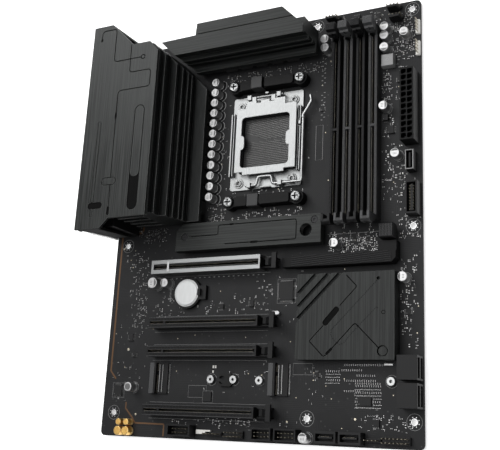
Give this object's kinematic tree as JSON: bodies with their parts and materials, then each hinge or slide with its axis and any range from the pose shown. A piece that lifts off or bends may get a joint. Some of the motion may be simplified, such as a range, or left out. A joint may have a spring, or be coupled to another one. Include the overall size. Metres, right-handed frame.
{
  "type": "desktop computer motherboard",
  "caption": "Full-size desktop motherboard with finned heatsinks, rear connector cover, lever-locked processor socket, latched memory slots and expansion slots.",
  "frame": {"origin": "centre of the outer case-screw hole rectangle, on the underside of the circuit board", "axes": "+Z out of the component side, +Y along the board's long side towards the processor end, +X away from the rear connectors"},
  "size_m": [0.256, 0.3052, 0.0538],
  "materials": {
    "solder_mask": "matt black solder mask over glass-epoxy laminate",
    "dark_metal": "brushed and anodised dark grey",
    "black_steel": "satin black",
    "nickel_steel": "bright nickel-plated",
    "port_steel": "stamped connector shell",
    "can_metal": "bright can with printed dark sleeve",
    "gold_metal": "gold-coloured",
    "contact_gold": "plated spring contacts",
    "battery_steel": "satin cell can",
    "black_plastic": "matt black moulding",
    "grey_plastic": "dark grey moulding",
    "choke_grey": "pressed ferrite powder",
    "thermal_pad": "soft silicone pad",
    "black_rubber": "soft black pad"
  },
  "bodies": {
    "board": {"antenna_posts": "gold_metal", "atx_power_connector": "black_plastic", "audio_capacitors": "gold_metal", "audio_jacks": "black_plastic", "battery_holder": "black_plastic", "board_capacitors": "can_metal", "board_components": "black_plastic", "chipset_heatsink": "dark_metal", "cmos_battery": "battery_steel", "cooler_bracket_lower": "black_plastic", "cooler_bracket_upper": "black_plastic", "cooler_screws": "nickel_steel", "cpu_contacts": "contact_gold", "cpu_power_connectors": "black_plastic", "cpu_socket_body": "black_plastic", "dimm_slot_1": "black_plastic", "dimm_slot_2": "grey_plastic", "dimm_slot_3": "black_plastic", "dimm_slot_4": "grey_plastic", "ethernet_port": "port_steel", "front_usb_headers": "black_plastic", "io_cover": "dark_metal", "io_shield": "black_steel", "m2_heatsink": "dark_metal", "m2_heatsink_screws": "black_steel", "m2_sockets": "black_plastic", "m2_standoffs": "nickel_steel", "m2_support_pad": "black_rubber", "pcb": "solder_mask", "pcie_slot_1": "black_plastic", "pcie_slot_2": "black_plastic", "pcie_slot_3": "black_plastic", "pcie_slot_4": "black_plastic", "pcie_slot_shell": "nickel_steel", "pin_headers": "black_plastic", "release_housing": "black_plastic", "sata_ports": "black_plastic", "socket_backplate": "black_steel", "socket_capacitors": "can_metal", "socket_frame": "nickel_steel", "socket_screws": "nickel_steel", "thermal_pads": "thermal_pad", "usb_a_ports": "port_steel", "usb_c_ports": "port_steel", "video_ports": "port_steel", "vrm_chokes": "choke_grey", "vrm_heatsink_left": "dark_metal", "vrm_heatsink_top": "dark_metal"},
    "lever": {"socket_lever": "nickel_steel"},
    "plate": {"load_plate": "nickel_steel"},
    "button": {"release_button": "black_plastic"},
    "rear_button": {"bios_button": "grey_plastic"},
    "memory_latch_1": {"dimm_latch_1": "black_plastic"},
    "card_latch_1": {"pcie_latch_1": "black_plastic"},
    "memory_latch_2": {"dimm_latch_2": "grey_plastic"},
    "card_latch_2": {"pcie_latch_2": "black_plastic"},
    "memory_latch_3": {"dimm_latch_3": "black_plastic"},
    "card_latch_3": {"pcie_latch_3": "black_plastic"},
    "memory_latch_4": {"dimm_latch_4": "grey_plastic"},
    "card_latch_4": {"pcie_latch_4": "black_plastic"}
  },
  "joints": [
    {"name": "lever_hinge", "type": "hinge", "parent": "board", "child": "lever", "pos_m": [0.01617, 0.02112, 0.006], "axis": [1, 0, 0], "range_deg": [0, 115]},
    {"name": "plate_hinge", "type": "hinge", "parent": "board", "child": "plate", "pos_m": [0.00447, 0.08912, 0.0068], "axis": [-1, 0, 0], "range_deg": [0, 101]},
    {"name": "release_slide", "type": "slide", "parent": "board", "child": "button", "axis": [0, 0, -1], "range_m": [0, 0.0025], "stiffness_N_per_m": 300},
    {"name": "rear_button_slide", "type": "slide", "parent": "board", "child": "rear_button", "axis": [1, 0, 0], "range_m": [0, 0.0008], "stiffness_N_per_m": 400},
    {"name": "memory_latch_1_hinge", "type": "hinge", "parent": "board", "child": "memory_latch_1", "pos_m": [0.06017, 0.12712, 0.0052], "axis": [-1, 0, 0], "range_deg": [0, 25]},
    {"name": "memory_latch_2_hinge", "type": "hinge", "parent": "board", "child": "memory_latch_2", "pos_m": [0.06943, 0.12712, 0.0052], "axis": [-1, 0, 0], "range_deg": [0, 25]},
    {"name": "memory_latch_3_hinge", "type": "hinge", "parent": "board", "child": "memory_latch_3", "pos_m": [0.07867, 0.12712, 0.0052], "axis": [-1, 0, 0], "range_deg": [0, 25]},
    {"name": "memory_latch_4_hinge", "type": "hinge", "parent": "board", "child": "memory_latch_4", "pos_m": [0.08793, 0.12712, 0.0052], "axis": [-1, 0, 0], "range_deg": [0, 25]},
    {"name": "card_latch_1_hinge", "type": "hinge", "parent": "board", "child": "card_latch_1", "pos_m": [0.01317, -0.03688, 0.0042], "axis": [0, 1, 0], "range_deg": [0, 20]},
    {"name": "card_latch_2_hinge", "type": "hinge", "parent": "board", "child": "card_latch_2", "pos_m": [0.01317, -0.07752, 0.0042], "axis": [0, 1, 0], "range_deg": [0, 25]},
    {"name": "card_latch_3_hinge", "type": "hinge", "parent": "board", "child": "card_latch_3", "pos_m": [0.01317, -0.09784, 0.0042], "axis": [0, 1, 0], "range_deg": [0, 25]},
    {"name": "card_latch_4_hinge", "type": "hinge", "parent": "board", "child": "card_latch_4", "pos_m": [0.01317, -0.13848, 0.0042], "axis": [0, 1, 0], "range_deg": [0, 25]}
  ],
  "couplings": [
    {"joint": "plate_hinge", "follows": "lever_hinge", "ratio": 0.87},
    {"joint": "card_latch_1_hinge", "follows": "release_slide", "rad_per_m": 139}
  ]
}
